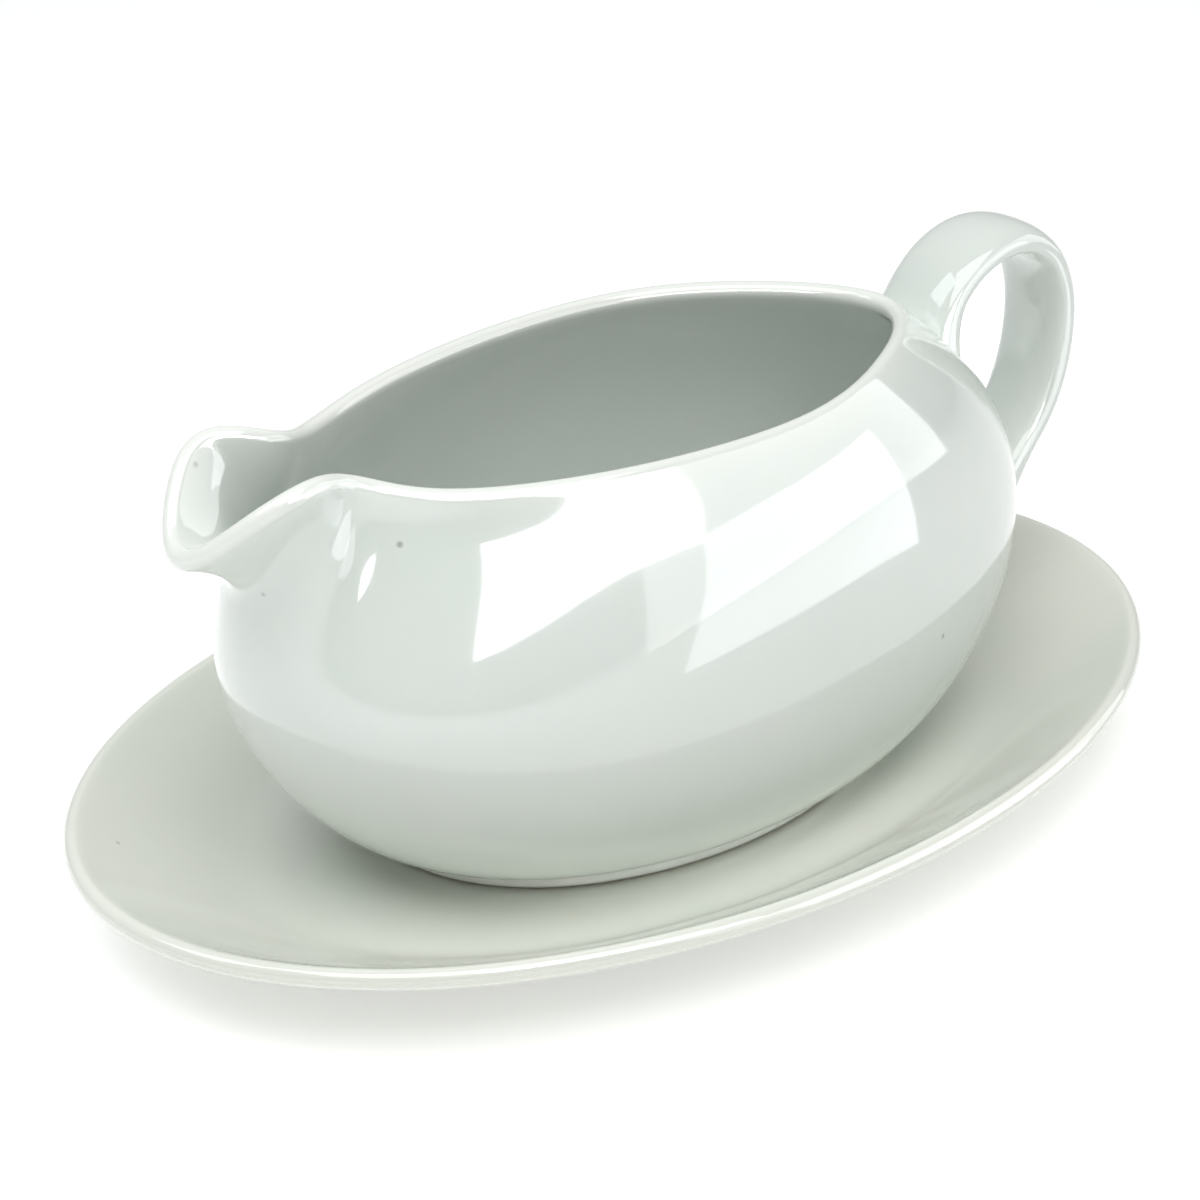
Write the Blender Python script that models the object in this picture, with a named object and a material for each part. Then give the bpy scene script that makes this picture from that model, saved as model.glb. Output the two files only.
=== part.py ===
"""A porcelain gravy boat with its handle, standing on a separate oval stand.

Lengths are in millimetres and become metres where a mesh is made. The spout points to -X, the handle
to +X, and the stand's foot rests on z = 0. Every skin is a row of closed loops around the vertical axis,
and a loop's points are spread by their turn from the handle: 0 at the handle, 180 at the spout.
"""

import math

import bmesh
import bpy
import numpy as np

MM = 0.001
GAP = 0.35
COLUMNS = 72
SPOUT_CROWDING = 0.35
WALL = 3.8
UP = np.array([0.0, 0.0, 1.0])

# The stand: a shallow oval dish with a rolled edge, a flat well and a foot ring.
STAND_HALF_LENGTH = 117.5
STAND_HALF_WIDTH = 77.0
STAND_RIM_HEIGHT = 19.0
RIM_ROLL = 1.8
RIM_SLOPE = 34.0
WELL_HALF_LENGTH = 85.0
WELL_HALF_WIDTH = 52.0
WELL_HEIGHT = 6.0
WALL_CURVE = 1.3
STAND_FOOT_HALF_LENGTH = 71.0
STAND_FOOT_HALF_WIDTH = 43.0
STAND_FOOT_WIDTH = 3.2
STAND_UNDERSIDE = 2.2

# The boat's foot ring stands in the well, and its recess leaves a wall's thickness of floor.
FOOT_CENTRE = -1.5
FOOT_HALF_LENGTH = 55.0
FOOT_HALF_WIDTH = 38.0
FOOT_WIDTH = 3.6
FOOT_BOTTOM = WELL_HEIGHT + GAP
FOOT_RECESS = 8.6
FOOT_TOP = 9.0
FLOOR_HEIGHT = 12.4

# The middle of the boat's wall: it leaves the foot nearly flat, stands upright at the belly and closes in.
SKIRT_START = 11.0
BELLY_CENTRE = -4.0
BELLY_BACK = 94.0
BELLY_FRONT = 80.5
BELLY_HALF_WIDTH = 46.8

# Three values each, at the handle, at the sides and at the spout.
BELLY_HEIGHT = (44.5, 42.5, 52.0)
SKIRT_ANGLE = (13.5, 14.5, 13.5)
SKIRT_PULL = (16.5, 7.5, 13.5)
BELLY_PULL = (19.0, 17.5, 15.0)

# The rim's centre line on the far side. Lean is the wall's outward tilt from upright where it meets the
# rim, and the two pulls are how far the wall keeps its direction above the belly and below the rim.
RIM = (
    # turn, x, y, height, lean, belly pull, rim pull
    (0, 63.5, 0, 86, -47, 20, 16),
    (40, 43.5, 23, 87, -44, 18, 14.5),
    (90, 1, 35.5, 86.5, -40, 18, 15),
    (122, -41, 27, 86.5, -17, 15, 14),
    (138, -60, 16.8, 87.8, -3, 13, 14),
    (150, -70.5, 11.9, 91.5, 7, 12, 14.5),
    (160, -80, 14.6, 93.5, 38, 12, 14),
    (170, -89, 11, 88.5, 56, 14, 14),
    (180, -95.5, 0, 81, 70, 17, 17),
)

# The handle: a strap in the middle plane, from behind the rim over the top and down to the belly.
HANDLE_PATH = ((71, 73), (75.3, 85.5), (85, 93), (99, 92.3), (106.2, 83.5), (108, 70), (103.3, 54), (90, 40))
HANDLE_TOP_WIDTH = 19.5
HANDLE_FOOT_WIDTH = 17.0
HANDLE_THICKNESS = 6.3
HANDLE_SQUARENESS = 2.6
HANDLE_STATIONS = 40
HANDLE_SIDES = 24


def clear_scene():
    for scene_object in list(bpy.data.objects):
        bpy.data.objects.remove(scene_object, do_unlink=True)


def glazed(name, colour, roughness):
    """A plain glazed ceramic material."""
    material = bpy.data.materials.new(name)
    material.use_nodes = True
    shader = material.node_tree.nodes["Principled BSDF"]
    shader.inputs["Base Color"].default_value = (*colour, 1.0)
    shader.inputs["Roughness"].default_value = roughness
    shader.inputs["Metallic"].default_value = 0.0
    return material


def blended(values, turn):
    """Goes smoothly from the handle's value through the sides' to the spout's."""
    handle, side, spout = values
    along = np.cos(turn)
    return side + (handle - spout) / 2 * along + ((handle + spout) / 2 - side) * along * along


def smooth_curve(stations, values, where, period=None):
    """A cubic spline through the values, closed on itself when it has a period."""
    stations = np.asarray(stations, float)
    values = np.asarray(values, float)
    count = len(stations)
    if period:
        steps = np.diff(np.append(stations, stations[0] + period))
        following = np.append(stations[1:], stations[0] + period)
        where = np.mod(where - stations[0], period) + stations[0]
    else:
        steps = np.append(np.diff(stations), 1.0)
        following = np.append(stations[1:], stations[-1] + 1.0)
    bends = np.eye(count)
    slopes = np.zeros(count)
    for here in range(count) if period else range(1, count - 1):
        after = (here + 1) % count
        before = here - 1
        bends[here, here] = 2 * (steps[before] + steps[here])
        bends[here, before] += steps[before]
        bends[here, after] += steps[here]
        rise_after = (values[after] - values[here]) / steps[here]
        rise_before = (values[here] - values[before]) / steps[before]
        slopes[here] = 6 * (rise_after - rise_before)
    curvature = np.linalg.solve(bends, slopes)
    last = count - 1 if period else count - 2
    span = np.clip(np.searchsorted(stations, where, side="right") - 1, 0, last)
    after = (span + 1) % count
    step = steps[span]
    to_end = following[span] - where
    from_start = where - stations[span]
    bent = (curvature[span] * to_end**3 + curvature[after] * from_start**3) / (6 * step)
    start_line = (values[span] / step - curvature[span] * step / 6) * to_end
    end_line = (values[after] / step - curvature[after] * step / 6) * from_start
    return bent + start_line + end_line


def around(column, turn, mirrored=1.0):
    """One column of RIM as a closed curve; the near side repeats the far side, times mirrored."""
    turns = [row[0] for row in RIM]
    values = [row[column] for row in RIM]
    near_turns = [360 - value for value in turns[-2:0:-1]]
    near_values = [mirrored * value for value in values[-2:0:-1]]
    stations = np.radians(turns + near_turns)
    return smooth_curve(stations, values + near_values, turn, math.tau)


def bezier(start, start_handle, end_handle, end, share):
    rest = 1 - share
    return (
        start * rest**3
        + 3 * start_handle * share * rest**2
        + 3 * end_handle * share**2 * rest
        + end * share**3
    )


def oval(half_length, half_width, height, turn, centre=0.0):
    """One level loop of points."""
    x = centre + half_length * np.cos(turn)
    y = half_width * np.sin(turn)
    return np.stack([x, y, np.full_like(turn, height)], axis=1)


def wall_middle(turn, skirt_steps, shoulder_steps):
    """The middle surface of the boat's wall, as loops from the foot up to the rim."""
    foot = oval(FOOT_HALF_LENGTH - 0.5, FOOT_HALF_WIDTH - 0.5, SKIRT_START, turn, FOOT_CENTRE)
    half_length = np.where(np.cos(turn) > 0, BELLY_BACK, BELLY_FRONT)
    belly = oval(half_length, BELLY_HALF_WIDTH, 0.0, turn, BELLY_CENTRE)
    belly[:, 2] = blended(BELLY_HEIGHT, turn)
    outward = np.stack([np.cos(turn) / half_length, np.sin(turn) / BELLY_HALF_WIDTH, 0 * turn], axis=1)
    outward /= np.linalg.norm(outward, axis=1)[:, None]

    angle = np.radians(blended(SKIRT_ANGLE, turn))[:, None]
    skirt_way = outward * np.cos(angle) + UP * np.sin(angle)
    skirt_end = foot + skirt_way * blended(SKIRT_PULL, turn)[:, None]
    belly_start = belly - UP * blended(BELLY_PULL, turn)[:, None]

    rim = np.stack([around(1, turn), around(2, turn, -1.0), around(3, turn)], axis=1)
    lean = np.radians(around(4, turn))[:, None]
    rim_way = outward * np.sin(lean) + UP * np.cos(lean)
    belly_end = belly + UP * around(5, turn)[:, None]
    rim_start = rim - rim_way * around(6, turn)[:, None]

    skirt = [bezier(foot, skirt_end, belly_start, belly, share) for share in np.linspace(0, 1, skirt_steps)]
    shoulder = [bezier(belly, belly_end, rim_start, rim, share) for share in np.linspace(0, 1, shoulder_steps)]
    return np.array(skirt + shoulder[1:])


def surface_normals(grid):
    """Unit normals, pointing out, of a grid of loops."""
    along = np.roll(grid, -1, axis=1) - np.roll(grid, 1, axis=1)
    normals = np.cross(along, np.gradient(grid, axis=0))
    return normals / np.linalg.norm(normals, axis=2)[:, :, None]


def solid_from_loops(name, loops, material):
    """A closed solid: neighbouring loops are bridged, and each end closes on the middle of its loop."""
    shell = bmesh.new()
    rings = [[shell.verts.new(point * MM) for point in loop] for loop in loops]
    for lower, upper in zip(rings, rings[1:]):
        for first in range(len(lower)):
            second = (first + 1) % len(lower)
            shell.faces.new((lower[first], lower[second], upper[second], upper[first]))
    for ring in (rings[0], rings[-1]):
        middle = shell.verts.new(sum((vert.co for vert in ring), ring[0].co * 0) / len(ring))
        for first in range(len(ring)):
            shell.faces.new((ring[first], ring[(first + 1) % len(ring)], middle))
    bmesh.ops.recalc_face_normals(shell, faces=shell.faces)
    mesh = bpy.data.meshes.new(name)
    shell.to_mesh(mesh)
    shell.free()
    mesh.materials.append(material)
    mesh.shade_smooth()
    mesh.set_sharp_from_angle(angle=math.radians(50))
    solid = bpy.data.objects.new(name, mesh)
    bpy.context.scene.collection.objects.link(solid)
    return solid


def make_stand(turn, material):
    """The dish, as loops from the middle of its underside, over the rolled rim, to the middle of the well."""

    def between(share, height):
        """A loop part of the way from the well's edge out to the rim."""
        half_length = WELL_HALF_LENGTH + share * (STAND_HALF_LENGTH - WELL_HALF_LENGTH)
        half_width = WELL_HALF_WIDTH + share * (STAND_HALF_WIDTH - WELL_HALF_WIDTH)
        return oval(half_length, half_width, height, turn)

    def foot(inset, height):
        return oval(STAND_FOOT_HALF_LENGTH - inset, STAND_FOOT_HALF_WIDTH - inset, height, turn)

    underside = [
        foot(30, STAND_UNDERSIDE),
        foot(STAND_FOOT_WIDTH + 1.2, STAND_UNDERSIDE),
        foot(STAND_FOOT_WIDTH, 0.0),
        foot(0.0, 0.0),
        foot(-0.9, 2.6),
    ]
    below_wall = [between(share, height) for share, height in ((0.12, 4.2), (0.45, 8.3), (0.75, 13.0))]
    roll = []
    for angle in np.radians(np.linspace(-75, 90 + RIM_SLOPE, 8)):
        inset = RIM_ROLL * (1 - math.cos(angle))
        height = STAND_RIM_HEIGHT + RIM_ROLL * math.sin(angle)
        roll.append(oval(STAND_HALF_LENGTH - inset, STAND_HALF_WIDTH - inset, height, turn))
    edge, well_edge = roll[-1], between(0.0, WELL_HEIGHT)
    above_wall = []
    for share in (0.84, 0.68, 0.52, 0.36, 0.2, 0.08, 0.0):
        loop = well_edge + share * (edge - well_edge)
        loop[:, 2] = WELL_HEIGHT + (edge[:, 2] - WELL_HEIGHT) * share**WALL_CURVE
        above_wall.append(loop)
    well = [oval(WELL_HALF_LENGTH * 0.6, WELL_HALF_WIDTH * 0.6, WELL_HEIGHT, turn)]
    return solid_from_loops("stand", underside + below_wall + roll + above_wall + well, material)


def make_boat_body(turn, material):
    """The hollow body, as loops from under its foot, up the outside, over the rim and down the inside."""

    def foot(inset, height):
        return oval(FOOT_HALF_LENGTH - inset, FOOT_HALF_WIDTH - inset, height, turn, FOOT_CENTRE)

    middle = wall_middle(turn, skirt_steps=10, shoulder_steps=12)
    normals = surface_normals(middle)
    outside = list(middle + normals * WALL / 2)
    inside = list(middle - normals * WALL / 2)[::-1]

    rim = middle[-1]
    along = np.roll(rim, -1, axis=0) - np.roll(rim, 1, axis=0)
    across = np.cross(along, normals[-1])
    across /= np.linalg.norm(across, axis=1)[:, None]
    across *= np.sign(across[:, 2:])
    rounded = []
    for angle in np.radians((45, 90, 135)):
        rounded.append(rim + WALL / 2 * (normals[-1] * math.cos(angle) + across * math.sin(angle)))

    underside = [
        foot(24, FOOT_RECESS),
        foot(FOOT_WIDTH + 1.0, FOOT_RECESS),
        foot(FOOT_WIDTH, FOOT_BOTTOM),
        foot(0.6, FOOT_BOTTOM),
        foot(0.0, FOOT_BOTTOM + 0.8),
        foot(0.4, FOOT_TOP - 0.5),
    ]
    floor = [foot(12, FLOOR_HEIGHT)]
    return solid_from_loops("boat_body", underside + outside + rounded + inside + floor, material)


def make_clearance(turn, material):
    """The body's outer shape, grown by the gap: it trims the handle's ends to the body."""
    middle = wall_middle(turn, skirt_steps=16, shoulder_steps=24)
    grown = middle + surface_normals(middle) * (WALL / 2 + GAP + 0.1)
    clearance = solid_from_loops("clearance", list(grown), material)
    clearance.hide_render = True
    clearance.display_type = "WIRE"
    return clearance


def make_handle(material, clearance):
    """The strap: a rounded section carried along the path, its ends trimmed to the body."""
    path = np.array(HANDLE_PATH, float)
    lengths = np.insert(np.cumsum(np.linalg.norm(np.diff(path, axis=0), axis=1)), 0, 0.0)
    where = np.linspace(0, lengths[-1], HANDLE_STATIONS)
    x = smooth_curve(lengths, path[:, 0], where)
    z = smooth_curve(lengths, path[:, 1], where)
    forward = np.stack([np.gradient(x), np.gradient(z)], axis=1)
    forward /= np.linalg.norm(forward, axis=1)[:, None]

    angles = np.linspace(0, math.tau, HANDLE_SIDES, endpoint=False)
    power = 2 / HANDLE_SQUARENESS
    sideways = np.sign(np.cos(angles)) * np.abs(np.cos(angles)) ** power
    outwards = HANDLE_THICKNESS / 2 * np.sign(np.sin(angles)) * np.abs(np.sin(angles)) ** power
    half_widths = np.linspace(HANDLE_TOP_WIDTH / 2, HANDLE_FOOT_WIDTH / 2, HANDLE_STATIONS)
    loops = []
    for station, half_width in enumerate(half_widths):
        way_x, way_z = forward[station]
        loop = [x[station] - way_z * outwards, half_width * sideways, z[station] + way_x * outwards]
        loops.append(np.stack(loop, axis=1))
    handle = solid_from_loops("handle", loops, material)
    trim = handle.modifiers.new("trim to body", "BOOLEAN")
    trim.operation = "DIFFERENCE"
    trim.object = clearance
    return handle


def main():
    clear_scene()
    turn = np.linspace(0, math.tau, COLUMNS, endpoint=False)
    porcelain = glazed("white porcelain", (0.80, 0.82, 0.80), 0.12)
    handle_porcelain = glazed("white porcelain, handle", (0.81, 0.82, 0.81), 0.12)
    stand_porcelain = glazed("white porcelain, stand", (0.79, 0.79, 0.76), 0.14)
    make_stand(turn, stand_porcelain)

    # The boat's columns stand closer together towards the spout, where the rim turns most.
    turn = turn + SPOUT_CROWDING * np.sin(turn)

    # The boat lifts straight up off the stand, so its pieces hang on an empty in the middle of the well.
    lift_axis = bpy.data.objects.new("boat_lift_axis", None)
    lift_axis.location = (0.0, 0.0, WELL_HEIGHT * MM)
    bpy.context.scene.collection.objects.link(lift_axis)
    boat_body = make_boat_body(turn, porcelain)
    handle = make_handle(handle_porcelain, make_clearance(turn, porcelain))
    for piece in (boat_body, handle):
        piece.parent = lift_axis
        piece.matrix_parent_inverse.translation = (0.0, 0.0, -WELL_HEIGHT * MM)


main()
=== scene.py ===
import math

import bpy
import numpy as np
from mathutils import Matrix, Vector, noise


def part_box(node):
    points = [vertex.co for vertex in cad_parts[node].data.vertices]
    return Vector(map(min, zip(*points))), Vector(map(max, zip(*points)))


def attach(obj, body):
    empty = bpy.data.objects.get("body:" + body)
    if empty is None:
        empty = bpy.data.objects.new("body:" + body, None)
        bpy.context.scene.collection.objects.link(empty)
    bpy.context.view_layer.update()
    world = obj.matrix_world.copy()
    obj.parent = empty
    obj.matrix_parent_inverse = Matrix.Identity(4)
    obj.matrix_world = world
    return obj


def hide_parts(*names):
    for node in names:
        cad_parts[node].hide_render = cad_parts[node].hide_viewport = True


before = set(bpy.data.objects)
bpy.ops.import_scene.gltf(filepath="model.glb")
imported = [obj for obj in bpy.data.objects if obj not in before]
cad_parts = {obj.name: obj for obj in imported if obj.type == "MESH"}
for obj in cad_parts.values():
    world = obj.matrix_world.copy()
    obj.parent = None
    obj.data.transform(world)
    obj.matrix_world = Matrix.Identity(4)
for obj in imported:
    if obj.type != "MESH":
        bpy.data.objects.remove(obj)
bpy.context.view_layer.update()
mm = 0.001
# the noise module otherwise starts from the clock
noise.seed_set(7)
# how fast the slight waviness of the cast shapes changes, per millimetre
waveScale = 0.035
up = np.array([0.0, 0.0, 1.0])

# ---- camera

view = {
    "aim": (0.0, 0.0, 0.045),
    "azimuth": -38.1,
    "elevation": 27.1,
    "roll": -0.7,
    "distance": 0.5612,
    "lens": 88.3,
    "shift": (-0.0263, -0.013),
}


def direction(azimuth, elevation):
    # azimuth 0 is in front, on the -Y side, and 90 is at the handle
    around, rise = math.radians(azimuth), math.radians(elevation)
    return Vector((math.sin(around) * math.cos(rise), -math.cos(around) * math.cos(rise), math.sin(rise)))


def addCamera():
    away = direction(view["azimuth"], view["elevation"])
    right = direction(view["azimuth"] + 90, 0)
    upward = away.cross(right)
    place = Vector(view["aim"]) + away * view["distance"]
    turned = Matrix((right, upward, away)).transposed() @ Matrix.Rotation(math.radians(view["roll"]), 3, "Z")
    camera = bpy.data.objects.new("camera", bpy.data.cameras.new("camera"))
    camera.matrix_world = Matrix.Translation(place) @ turned.to_4x4()
    camera.data.lens = view["lens"]
    camera.data.shift_x, camera.data.shift_y = view["shift"]
    camera.data.clip_start = 0.01
    bpy.context.scene.collection.objects.link(camera)
    bpy.context.scene.camera = camera


# ---- curves and loops


def smoothCurve(stations, values, where, period=None):
    # a cubic spline with even curvature through the values, closed when it has a period
    stations = np.asarray(stations, float)
    values = np.asarray(values, float)
    shape = values.shape[1:]
    values = values.reshape(len(stations), -1)
    count = len(stations)
    if period:
        following = np.append(stations[1:], stations[0] + period)
        where = np.mod(where - stations[0], period) + stations[0]
        inner, last = range(count), count - 1
    else:
        following = np.append(stations[1:], stations[-1] + 1.0)
        inner, last = range(1, count - 1), count - 2
    steps = following - stations
    bends = np.eye(count)
    pulls = np.zeros_like(values)
    for here in inner:
        after, before = (here + 1) % count, here - 1
        bends[here, here] = 2 * (steps[before] + steps[here])
        bends[here, before] += steps[before]
        bends[here, after] += steps[here]
        leaving = (values[after] - values[here]) / steps[here]
        arriving = (values[here] - values[before]) / steps[before]
        pulls[here] = 6 * (leaving - arriving)
    curving = np.linalg.solve(bends, pulls)
    span = np.clip(np.searchsorted(stations, where, side="right") - 1, 0, last)
    after = (span + 1) % count
    step = steps[span][:, None]
    toEnd = (following[span] - where)[:, None]
    fromStart = (where - stations[span])[:, None]
    line = (curving[span] * toEnd**3 + curving[after] * fromStart**3) / (6 * step)
    line += (values[span] / step - curving[span] * step / 6) * toEnd
    line += (values[after] / step - curving[after] * step / 6) * fromStart
    return line.reshape(len(line), *shape)


def bezier(start, leaving, arriving, end, share):
    rest = 1 - share
    ends = start * rest**3 + end * share**3
    return ends + 3 * leaving * share * rest**2 + 3 * arriving * share**2 * rest


def threeWay(values, turn):
    # from the handle's value through the sides' to the spout's
    handle, side, spout = values
    along = np.cos(turn)
    return side + (handle - spout) / 2 * along + ((handle + spout) / 2 - side) * along * along


def oval(halfLength, halfWidth, height, turn, centre=0.0):
    return np.stack([centre + halfLength * np.cos(turn), halfWidth * np.sin(turn), 0 * turn + height], axis=1)


def outwardNormals(grid):
    along = np.roll(grid, -1, axis=1) - np.roll(grid, 1, axis=1)
    normals = np.cross(along, np.gradient(grid, axis=0))
    return normals / np.linalg.norm(normals, axis=2)[:, :, None]


def closedMesh(name, loops, paint, second=None, waviness=0.0, thinAndLitEdges=()):
    # bridges the loops in order and closes both ends on their middles;
    # second = (paint, first loop, last loop), the last argument = (loop, spread) of each edge painted paler:
    # where the glaze runs thin, and on the rim crests also a painted highlight
    loops = np.array(loops)
    rings, columns = loops.shape[:2]
    points = loops.reshape(-1, 3)
    if waviness:
        waves = [noise.noise_vector(Vector(point) * waveScale) for point in points]
        points = points + waviness * np.array(waves)
    points = np.vstack([points, loops[0].mean(0), loops[-1].mean(0)]) * mm
    faces = []
    for ring in range(rings - 1):
        for column in range(columns):
            beside = (column + 1) % columns
            low, high = ring * columns, (ring + 1) * columns
            faces.append((low + column, low + beside, high + beside, high + column))
    for column in range(columns):
        beside = (column + 1) % columns
        faces.append((beside, column, rings * columns))
        faces.append(((rings - 1) * columns + column, (rings - 1) * columns + beside, rings * columns + 1))
    mesh = bpy.data.meshes.new(name)
    mesh.from_pydata(points.tolist(), [], faces)
    mesh.materials.append(paint)
    if second:
        mesh.materials.append(second[0])
        for ring in range(second[1], second[2]):
            for column in range(columns):
                mesh.polygons[ring * columns + column].material_index = 1
    mesh.shade_smooth()
    edgePaleness = np.zeros(rings)
    for loop, spread in thinAndLitEdges:
        edgePaleness = np.maximum(edgePaleness, np.exp(-(((np.arange(rings) - loop) / spread) ** 2)))
    shares = np.append(np.repeat(edgePaleness, columns), [0.0, 0.0])
    mesh.attributes.new("thinGlazeAndHighlight", "FLOAT", "POINT").data.foreach_set("value", shares)
    piece = bpy.data.objects.new(name, mesh)
    bpy.context.scene.collection.objects.link(piece)
    return piece


# ---- materials


class Flow:
    # a number travelling through a material's nodes, so that shader maths reads as plain maths
    def __init__(self, tree, socket):
        self.tree = tree
        self.socket = socket

    def maths(self, operation, first, second):
        node = addNode(self.tree, "ShaderNodeMath", {"operation": operation}, {0: first, 1: second})
        return Flow(self.tree, node.outputs[0])

    def __add__(self, other):
        return self.maths("ADD", self, other)

    def __sub__(self, other):
        return self.maths("SUBTRACT", self, other)

    def __rsub__(self, other):
        return self.maths("SUBTRACT", other, self)

    def __mul__(self, other):
        return self.maths("MULTIPLY", self, other)

    __radd__ = __add__
    __rmul__ = __mul__


def addNode(tree, kind, settings=None, values=None):
    node = tree.nodes.new(kind)
    for name, value in (settings or {}).items():
        setattr(node, name, value)
    for name, value in (values or {}).items():
        if isinstance(value, Flow):
            tree.links.new(value.socket, node.inputs[name])
        else:
            node.inputs[name].default_value = value
    return node


def flowOf(tree, node, output=0):
    return Flow(tree, node.outputs[output])


def mixColour(tree, share, first, second):
    node = addNode(tree, "ShaderNodeMix", {"data_type": "RGBA"}, {0: share, 6: first, 7: second})
    return flowOf(tree, node, 2)


def between(tree, value, low, high):
    # 0 below low, 1 above high, eased in between
    settings = {"interpolation_type": "SMOOTHSTEP"}
    values = {"Value": value, "From Min": low, "From Max": high}
    return flowOf(tree, addNode(tree, "ShaderNodeMapRange", settings, values))


def noiseAt(tree, place, scale, detail=2.0, roughness=0.5):
    values = {"Vector": place, "Scale": scale, "Detail": detail, "Roughness": roughness}
    return flowOf(tree, addNode(tree, "ShaderNodeTexNoise", None, values), 0)


glaze = {
    "roughness": 0.07,
    "roughnessSpread": 0.05,
    "coat": 0.6,
    "coatRoughness": 0.03,
    "index": 1.52,
    "ripple": 0.00003,
    # the cells from this share upwards hold a speck
    "speckShare": 0.85,
    "speckDepth": 0.55,
    "speck": (0.20, 0.18, 0.15),
    # the paler edge colour: thin glaze over the white body, and on the rim crests a painted highlight
    "edge": (0.90, 0.89, 0.86),
}


def glazedPorcelain(name, light, deep, seed, edgeShare):
    material = bpy.data.materials.new(name)
    material.use_nodes = True
    tree = material.node_tree
    shader = tree.nodes["Principled BSDF"]
    place = flowOf(tree, addNode(tree, "ShaderNodeTexCoord"), 3)
    shift = (seed, seed * 0.7, seed * 1.3)
    shifted = flowOf(tree, addNode(tree, "ShaderNodeVectorMath", {"operation": "ADD"}, {0: place, 1: shift}))

    # the glaze lies thicker in some places than in others, where it looks a little greener
    pooled = between(tree, noiseAt(tree, shifted, 14.0, 3.0), 0.35, 0.7)
    body = mixColour(tree, pooled * 0.8, (*light, 1.0), (*deep, 1.0))
    # pale clouds, a few millimetres across
    clouds = between(tree, noiseAt(tree, shifted, 160.0, 3.0, 0.6), 0.4, 0.75)
    body = mixColour(tree, clouds * 0.2, body, (light[0] * 1.03, light[1] * 1.02, light[2] * 0.99, 1.0))
    # scattered iron specks and pinholes under the glaze
    cells = addNode(tree, "ShaderNodeTexVoronoi", None, {"Vector": shifted, "Scale": 95.0})
    near = 1 - between(tree, flowOf(tree, cells), 0.025, 0.075)
    chosen = addNode(tree, "ShaderNodeSeparateColor", None, {0: flowOf(tree, cells, 1)})
    rare = between(tree, flowOf(tree, chosen), glaze["speckShare"], glaze["speckShare"] + 0.004)
    body = mixColour(tree, near * rare * glaze["speckDepth"], body, (*glaze["speck"], 1.0))
    # the edges are painted paler: the white body shows where the glaze runs thin, and on the rim crests this
    # is also a painted highlight
    edge = addNode(tree, "ShaderNodeAttribute", {"attribute_name": "thinGlazeAndHighlight"})
    paleEdge = flowOf(tree, edge, 2) * (0.75 + 0.25 * noiseAt(tree, shifted, 260.0, 3.0))
    body = mixColour(tree, paleEdge * edgeShare, body, (*glaze["edge"], 1.0))
    tree.links.new(body.socket, shader.inputs["Base Color"])

    hazy = between(tree, noiseAt(tree, shifted, 45.0, 4.0, 0.6), 0.35, 0.8)
    rough = hazy * glaze["roughnessSpread"] + glaze["roughness"]
    tree.links.new(rough.socket, shader.inputs["Roughness"])
    shader.inputs["Coat Weight"].default_value = glaze["coat"]
    shader.inputs["Coat Roughness"].default_value = glaze["coatRoughness"]
    shader.inputs["IOR"].default_value = glaze["index"]

    ripple = noiseAt(tree, shifted, 70.0, 2.0, 0.4) + near * rare * 0.6
    relief = {"Height": ripple, "Distance": glaze["ripple"], "Strength": 1.0}
    bump = addNode(tree, "ShaderNodeBump", None, relief)
    tree.links.new(bump.outputs[0], shader.inputs["Normal"])
    return material


def bareBiscuit():
    material = bpy.data.materials.new("bareBiscuit")
    material.use_nodes = True
    tree = material.node_tree
    shader = tree.nodes["Principled BSDF"]
    place = flowOf(tree, addNode(tree, "ShaderNodeTexCoord"), 3)
    grain = noiseAt(tree, place, 1800.0, 4.0, 0.7)
    stain = between(tree, noiseAt(tree, place, 120.0, 3.0), 0.4, 0.75)
    body = mixColour(tree, stain * 0.5, (0.74, 0.70, 0.63, 1.0), (0.55, 0.49, 0.41, 1.0))
    tree.links.new(body.socket, shader.inputs["Base Color"])
    tree.links.new((grain * 0.2 + 0.7).socket, shader.inputs["Roughness"])
    bump = addNode(tree, "ShaderNodeBump", None, {"Height": grain, "Distance": 0.0001, "Strength": 0.8})
    tree.links.new(bump.outputs[0], shader.inputs["Normal"])
    return material


# ---- the stand

stand = {
    "rimHeight": 19.0,
    "roll": 1.8,
    "rollEnd": 124.0,
    "well": (85.0, 52.0),
    "wellHeight": 6.0,
    "wallCurve": 1.3,
    # share of the way from the well's edge to the rim and height, under the wall
    "wall": ((0.04, 3.5), (0.12, 4.2), (0.45, 8.3), (0.75, 13.0)),
    "foot": (71.0, 43.0),
    "footWidth": 3.2,
    "underside": 2.2,
    "columns": 288,
}


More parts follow.
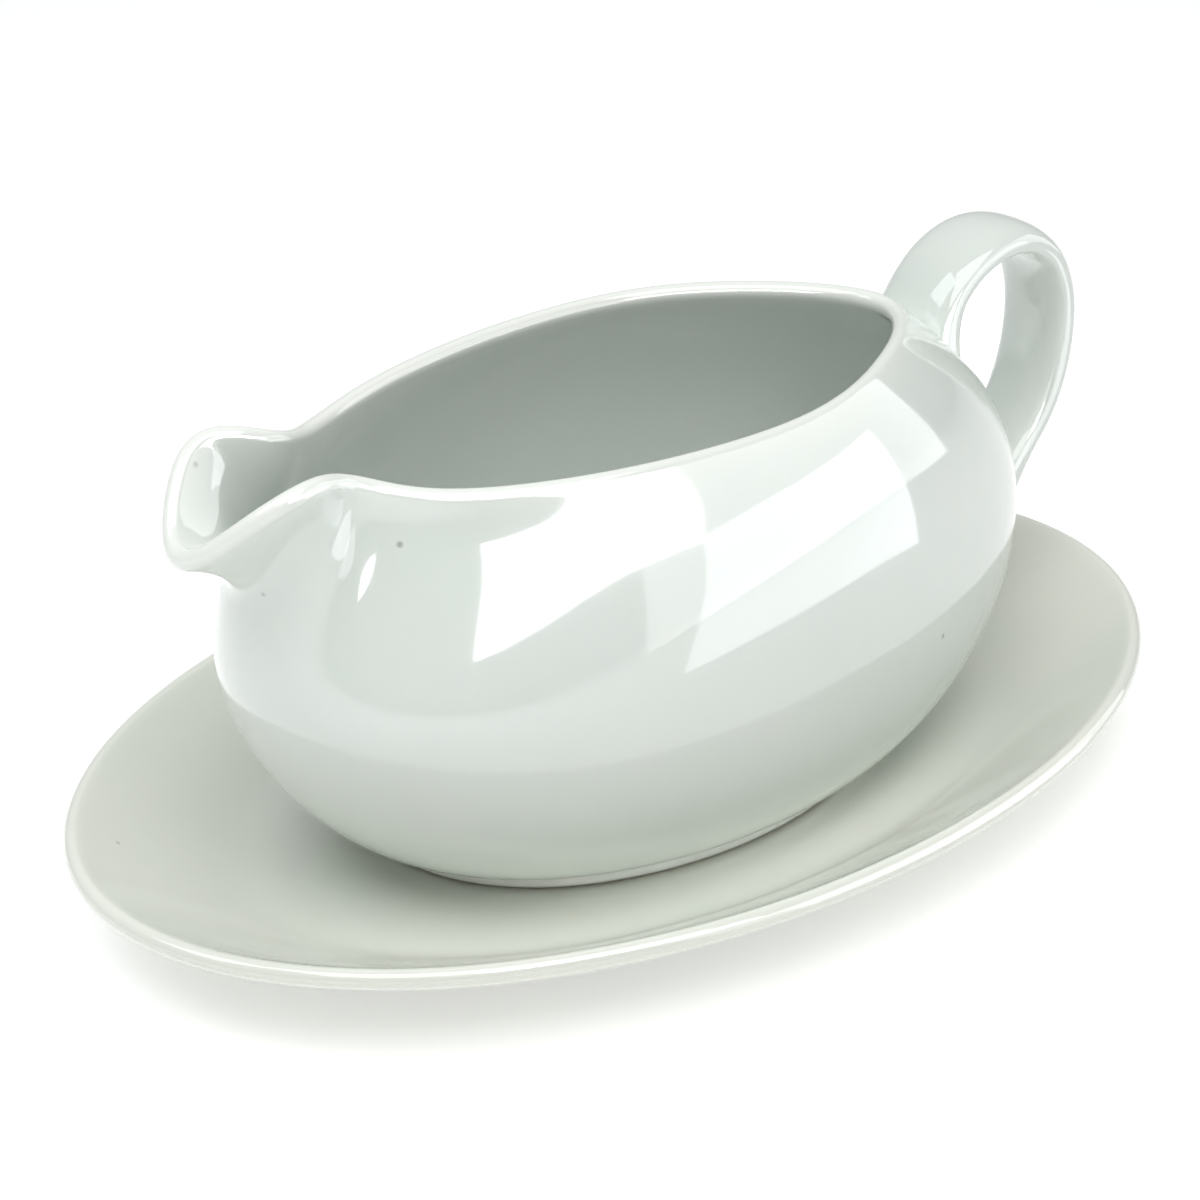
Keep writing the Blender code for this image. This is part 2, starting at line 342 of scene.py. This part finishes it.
def makeStand(paint, bare):
    low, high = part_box("stand")
    rim = np.array([(high.x - low.x) / 2, (high.y - low.y) / 2]) / mm
    turn = np.linspace(0, math.tau, stand["columns"], endpoint=False)
    well = np.array(stand["well"])
    roll, ring, under = stand["roll"], stand["footWidth"], stand["underside"]

    def insetLoop(size, inset, height):
        return oval(size[0] - inset, size[1] - inset, height, turn)

    rows = [(28, under), (ring + 2.6, under), (ring + 1.7, under - 0.2), (ring + 1.1, under - 0.7)]
    rows += [(ring + 0.5, 0.9), (ring + 0.15, 0.45), (ring - 0.2, 0.1), (ring - 0.6, 0.0), (0.5, 0.0)]
    rows += [(0.15, 0.1), (-0.1, 0.4), (-0.35, 1.2), (-0.7, 2.0), (-1.4, 2.6), (-2.6, 2.95)]
    base = [insetLoop(stand["foot"], inset, height) for inset, height in rows]

    rolled = []
    for angle in np.radians(np.linspace(-62, stand["rollEnd"], 24)):
        height = stand["rimHeight"] + roll * math.sin(angle)
        rolled.append(insetLoop(rim, roll * (1 - math.cos(angle)), height))
    keys = [insetLoop(well + share * (rim - well), 0, height) for share, height in stand["wall"]]
    keys.append(rolled[0])
    gaps = np.linalg.norm(np.diff([key[0] for key in keys], axis=0), axis=1)
    stations = np.append(0.0, np.cumsum(gaps))
    wall = list(smoothCurve(stations, keys, np.linspace(0, stations[-1], 26)))[:-1]

    edge, wellEdge = rolled[-1], insetLoop(well, 0, stand["wellHeight"])
    top = []
    for share in np.linspace(0.985, -0.12, 54):
        loop = wellEdge + share * (edge - wellEdge)
        # the softened corner where the wall leaves the well
        eased = (share + math.sqrt(share * share + 0.012)) / 2
        loop[:, 2] = stand["wellHeight"] + (edge[:, 2] - stand["wellHeight"]) * eased ** stand["wallCurve"]
        top.append(loop)
    middle = [insetLoop(well * share, 0, stand["wellHeight"]) for share in (0.9, 0.8, 0.65, 0.45, 0.2)]
    crest = len(base) + len(wall) + 17
    loops = base + wall + rolled + top + middle
    # the rim crest is painted paler: partly thin glaze, partly a painted highlight
    piece = closedMesh("ovalStand", loops, paint, (bare, 5, 10), 0.10, ((crest, 6.0),))
    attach(piece, "stand")
    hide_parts("stand")


# ---- the boat's body

boat = {
    "wall": 3.8,
    "footCentre": -1.5,
    "foot": (55.0, 38.0),
    "footWidth": 3.6,
    "footBottom": 6.35,
    "recess": 8.6,
    "floor": 12.4,
    "skirtStart": 11.0,
    # at the handle, at the sides, at the spout
    "bellyX": (90.0, -4.0, -84.5),
    "bellyHalfWidth": 46.8,
    "bellyHeight": (44.5, 42.5, 52.0),
    "skirtAngle": (13.5, 14.5, 13.5),
    "skirtPull": (16.5, 7.5, 13.5),
    "bellyPull": (19.0, 17.5, 15.0),
    # turn from the handle, x, y, height, lean, pull above the belly, pull below the rim
    "rim": (
        (0, 63.5, 0, 86, -47, 20, 16),
        (40, 43.5, 23, 87, -44, 18, 14.5),
        (90, 1, 35.5, 86.5, -40, 18, 15),
        (122, -41, 27, 86.5, -17, 15, 14),
        (138, -60, 16.8, 87.8, -3, 13, 14),
        (150, -70.5, 11.9, 91.5, 7, 12, 14.5),
        (160, -80, 14.6, 93.5, 38, 12, 14),
        (170, -89, 11, 88.5, 56, 14, 14),
        (180, -95.5, 0, 81, 70, 17, 17),
    ),
    "columns": 288,
    "crowding": 0.35,
}


def rimColumn(column, turn, mirrored=1.0):
    turns = [row[0] for row in boat["rim"]]
    values = [row[column] for row in boat["rim"]]
    turns += [360 - value for value in turns[-2:0:-1]]
    values += [mirrored * value for value in values[-2:0:-1]]
    return smoothCurve(np.radians(turns), values, turn, math.tau)


def wallMiddle(turn, steps):
    # the middle of the wall, as loops from the foot to the rim
    foot = oval(boat["foot"][0] - 0.5, boat["foot"][1] - 0.5, boat["skirtStart"], turn, boat["footCentre"])
    bellyY = boat["bellyHalfWidth"] * np.sin(turn)
    belly = np.stack([threeWay(boat["bellyX"], turn), bellyY, threeWay(boat["bellyHeight"], turn)], axis=1)
    along = np.roll(belly, -1, axis=0) - np.roll(belly, 1, axis=0)
    outward = np.stack([along[:, 1], -along[:, 0], 0 * turn], axis=1)
    outward /= np.linalg.norm(outward, axis=1)[:, None]
    angle = np.radians(threeWay(boat["skirtAngle"], turn))[:, None]
    skirtWay = outward * np.cos(angle) + up * np.sin(angle)
    skirtEnd = foot + skirtWay * threeWay(boat["skirtPull"], turn)[:, None]
    bellyStart = belly - up * threeWay(boat["bellyPull"], turn)[:, None]
    rim = np.stack([rimColumn(1, turn), rimColumn(2, turn, -1.0), rimColumn(3, turn)], axis=1)
    lean = np.radians(rimColumn(4, turn))[:, None]
    rimWay = outward * np.sin(lean) + up * np.cos(lean)
    bellyEnd = belly + up * rimColumn(5, turn)[:, None]
    rimStart = rim - rimWay * rimColumn(6, turn)[:, None]
    keys = [bezier(foot, skirtEnd, bellyStart, belly, share) for share in (0, 0.12, 0.3, 0.55, 0.8)]
    keys += [bezier(belly, bellyEnd, rimStart, rim, share) for share in (0.05, 0.3, 0.55, 0.75, 0.9, 1)]
    keys = np.array(keys)
    gaps = np.linalg.norm(np.diff(keys, axis=0), axis=2).mean(axis=1)
    stations = np.append(0.0, np.cumsum(gaps))
    return smoothCurve(stations, keys, np.linspace(0, stations[-1], steps))


def boatTurns(columns):
    turn = np.linspace(0, math.tau, columns, endpoint=False)
    return turn + boat["crowding"] * np.sin(turn)


def makeBoatShell(paint, bare):
    turn = boatTurns(boat["columns"])
    half = boat["wall"] / 2
    middle = wallMiddle(turn, 84)
    normals = outwardNormals(middle)
    outside = list(middle + normals * half)
    inside = list(middle - normals * half)[::-1]
    rim = middle[-1]
    across = np.cross(np.roll(rim, -1, axis=0) - np.roll(rim, 1, axis=0), normals[-1])
    across /= np.linalg.norm(across, axis=1)[:, None]
    across *= np.sign(across[:, 2:])
    angles = np.radians(np.linspace(0, 180, 14)[1:-1])
    rounded = [rim + half * (normals[-1] * math.cos(a) + across * math.sin(a)) for a in angles]

    def footLoop(inset, height):
        return oval(boat["foot"][0] - inset, boat["foot"][1] - inset, height, turn, boat["footCentre"])

    ring, base, recess = boat["footWidth"], boat["footBottom"], boat["recess"]
    rows = [(24, recess), (ring + 4, recess), (ring + 1.2, recess - 0.15), (ring + 0.5, recess - 0.7)]
    rows += [(ring + 0.15, base + 0.9), (ring - 0.05, base + 0.35), (ring - 0.5, base), (0.9, base)]
    rows += [(0.45, base + 0.12), (0.15, base + 0.4), (0.0, base + 0.9), (0.0, base + 1.6)]
    foot = [footLoop(inset, height) for inset, height in rows]
    corner = footLoop(-0.1, base + 2.85)
    fillet = [bezier(foot[-1], corner, corner, outside[3], share) for share in (0.2, 0.4, 0.6, 0.8)]
    level = boat["floor"]
    floorRows = ((5, level + 0.22), (11, level + 0.06), (20, level), (30, level))
    floor = [footLoop(inset, height) for inset, height in floorRows]
    loops = foot + fillet + outside[3:] + rounded + inside + floor
    crest = len(foot) + len(fillet) + len(outside) - 3 + len(rounded) / 2
    # the rim crest is painted paler, partly thin glaze and partly a painted highlight; the foot's glaze line
    # is paler where the glaze runs thin
    piece = closedMesh("boatShell", loops, paint, (bare, 5, 9), 0.12, ((crest, 7.0), (10.5, 1.5)))
    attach(piece, "boat")
    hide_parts("boat_body")


# ---- the handle

strap = {
    "path": ((71, 73), (75.3, 85.5), (85, 93), (99, 92.3), (106.2, 83.5), (108, 70), (103.3, 54), (90, 40)),
    "width": (19.5, 17.0),
    "thickness": 6.3,
    "outerSquareness": 2.2,
    "innerSquareness": 3.4,
    "flare": 3.2,
    "flareLength": (17.0, 15.0),
    "stations": 140,
    "sides": 56,
}


def makeHandle(paint):
    path = np.array(strap["path"], float)
    lengths = np.append(0.0, np.cumsum(np.linalg.norm(np.diff(path, axis=0), axis=1)))
    where = np.linspace(0, lengths[-1], strap["stations"])
    line = smoothCurve(lengths, path, where)
    ahead = np.gradient(line, axis=0)
    ahead /= np.linalg.norm(ahead, axis=1)[:, None]
    angles = np.linspace(0, math.tau, strap["sides"], endpoint=False)
    squareness = np.where(np.sin(angles) > 0, strap["outerSquareness"], strap["innerSquareness"])
    sideways = np.sign(np.cos(angles)) * np.abs(np.cos(angles)) ** (2 / squareness)
    outwards = np.sign(np.sin(angles)) * np.abs(np.sin(angles)) ** (2 / squareness)
    fromStart = np.clip(1 - where / strap["flareLength"][0], 0, 1)
    fromEnd = np.clip(1 - (lengths[-1] - where) / strap["flareLength"][1], 0, 1)
    flare = strap["flare"] * (fromStart**2 + fromEnd**2)
    halfWidths = np.linspace(*strap["width"], len(where)) / 2 + flare
    halfThickness = strap["thickness"] / 2 + flare * 0.6
    loops = []
    for (x, z), (aheadX, aheadZ), halfWidth, half in zip(line, ahead, halfWidths, halfThickness):
        loopX, loopZ = x - aheadZ * half * outwards, z + aheadX * half * outwards
        loops.append(np.stack([loopX, halfWidth * sideways, loopZ], axis=1))
    piece = closedMesh("strapHandle", loops, paint)

    # both ends stop inside the boat's wall
    core = wallMiddle(boatTurns(96), 40)
    cutter = closedMesh("handleEnds", list(core + 0.6 * outwardNormals(core)), paint)
    trim = piece.modifiers.new("trim", "BOOLEAN")
    trim.operation = "DIFFERENCE"
    trim.object = cutter
    evaluated = piece.evaluated_get(bpy.context.evaluated_depsgraph_get())
    trimmed = bpy.data.meshes.new_from_object(evaluated)
    piece.modifiers.clear()
    piece.data = trimmed
    bpy.data.objects.remove(cutter)
    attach(piece, "boat")
    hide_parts("handle")


# ---- the studio

studio = {
    "floor": (0.88, 0.88, 0.88),
    "floorGlow": 0.32,
    "floorReach": 4.0,
    "air": (0.95, 0.985, 0.965),
    "airStrength": 0.43,
    # the side that the air is darker towards, and how much of its strength it loses there
    "darkSide": (-50, 0),
    "darkShare": 0.6,
    # name: azimuth and elevation of its place from the aim, distance, size, radiance, colour
    "softboxes": {
        "topSoftbox": (-30, 66, 0.9, (0.85, 0.75), 3.3, (1.0, 1.0, 0.985)),
        "leftSoftbox": (-112, 52, 0.8, (0.35, 0.35), 3.0, (0.90, 0.97, 1.0)),
    },
    # lights the floor behind, and does not show in the gloss
    "backdropLamps": {
        "backSoftbox": (142, 48, 1.7, (1.0, 1.0), 1.2, (1.0, 1.0, 1.0)),
    },
    # these only show in the gloss
    "glints": {
        "sideCard": (35, 5, 0.2, (0.2, 0.15), 2.5, (0.92, 0.96, 1.0)),
        "shoulderCard": (45, 20, 0.7, (1.2, 0.6), 2.0, (0.98, 1.0, 1.0)),
        "windowGlint": (-15, 35, 0.2, (0.15, 0.08), 9.0, (1.0, 1.0, 1.0)),
    },
}


def addLamp(name, azimuth, elevation, distance, size, radiance, colour, matte, gloss):
    away = direction(azimuth, elevation)
    lamp = bpy.data.lights.new(name, "AREA")
    lamp.shape = "RECTANGLE"
    lamp.size, lamp.size_y = size
    lamp.energy = radiance * math.pi * size[0] * size[1]
    lamp.color = colour
    holder = bpy.data.objects.new(name, lamp)
    holder.location = Vector(view["aim"]) + distance * away
    holder.rotation_euler = away.to_track_quat("Z", "Y").to_euler()
    holder.visible_camera = False
    holder.visible_diffuse = matte
    holder.visible_glossy = gloss
    bpy.context.scene.collection.objects.link(holder)


def makeStudio():
    material = bpy.data.materials.new("paleFloor")
    material.use_nodes = True
    shader = material.node_tree.nodes["Principled BSDF"]
    shader.inputs["Base Color"].default_value = (*studio["floor"], 1.0)
    shader.inputs["Roughness"].default_value = 0.8
    shader.inputs["Specular IOR Level"].default_value = 0.0
    shader.inputs["Emission Color"].default_value = (1.0, 1.0, 1.0, 1.0)
    shader.inputs["Emission Strength"].default_value = studio["floorGlow"]
    mesh = bpy.data.meshes.new("floor")
    reach = studio["floorReach"]
    corners = [(-reach, -reach, 0), (reach, -reach, 0), (reach, reach, 0), (-reach, reach, 0)]
    mesh.from_pydata(corners, [], [(0, 1, 2, 3)])
    mesh.materials.append(material)
    floor = bpy.data.objects.new("floor", mesh)
    bpy.context.scene.collection.objects.link(floor)

    world = bpy.data.worlds.new("studioAir")
    world.use_nodes = True
    tree = world.node_tree
    background = tree.nodes["Background"]
    background.inputs["Color"].default_value = (*studio["air"], 1.0)
    towards = flowOf(tree, addNode(tree, "ShaderNodeTexCoord"), 0)
    dark = tuple(direction(*studio["darkSide"]))
    dot = addNode(tree, "ShaderNodeVectorMath", {"operation": "DOT_PRODUCT"}, {0: towards, 1: dark})
    facing = flowOf(tree, dot, 1)
    strength = studio["airStrength"] * (1 - studio["darkShare"] * between(tree, facing, -0.1, 0.8))
    tree.links.new(strength.socket, background.inputs["Strength"])
    bpy.context.scene.world = world
    shows = (("softboxes", True, True), ("backdropLamps", True, False), ("glints", False, True))
    for group, matte, gloss in shows:
        for name, settings in studio[group].items():
            addLamp(name, *settings, matte, gloss)
    bpy.context.scene.view_settings.view_transform = "Standard"


addCamera()
print("camera set")
biscuit = bareBiscuit()
makeStand(glazedPorcelain("standGlaze", (0.71, 0.72, 0.66), (0.67, 0.71, 0.65), 3.1, 0.3), biscuit)
print("stand made")
makeBoatShell(glazedPorcelain("boatGlaze", (0.70, 0.735, 0.705), (0.66, 0.71, 0.675), 0.0, 0.7), biscuit)
print("boat made")
makeHandle(glazedPorcelain("handleGlaze", (0.70, 0.735, 0.705), (0.67, 0.71, 0.68), 7.7, 0.7))
print("handle made")
makeStudio()
print("studio lit")
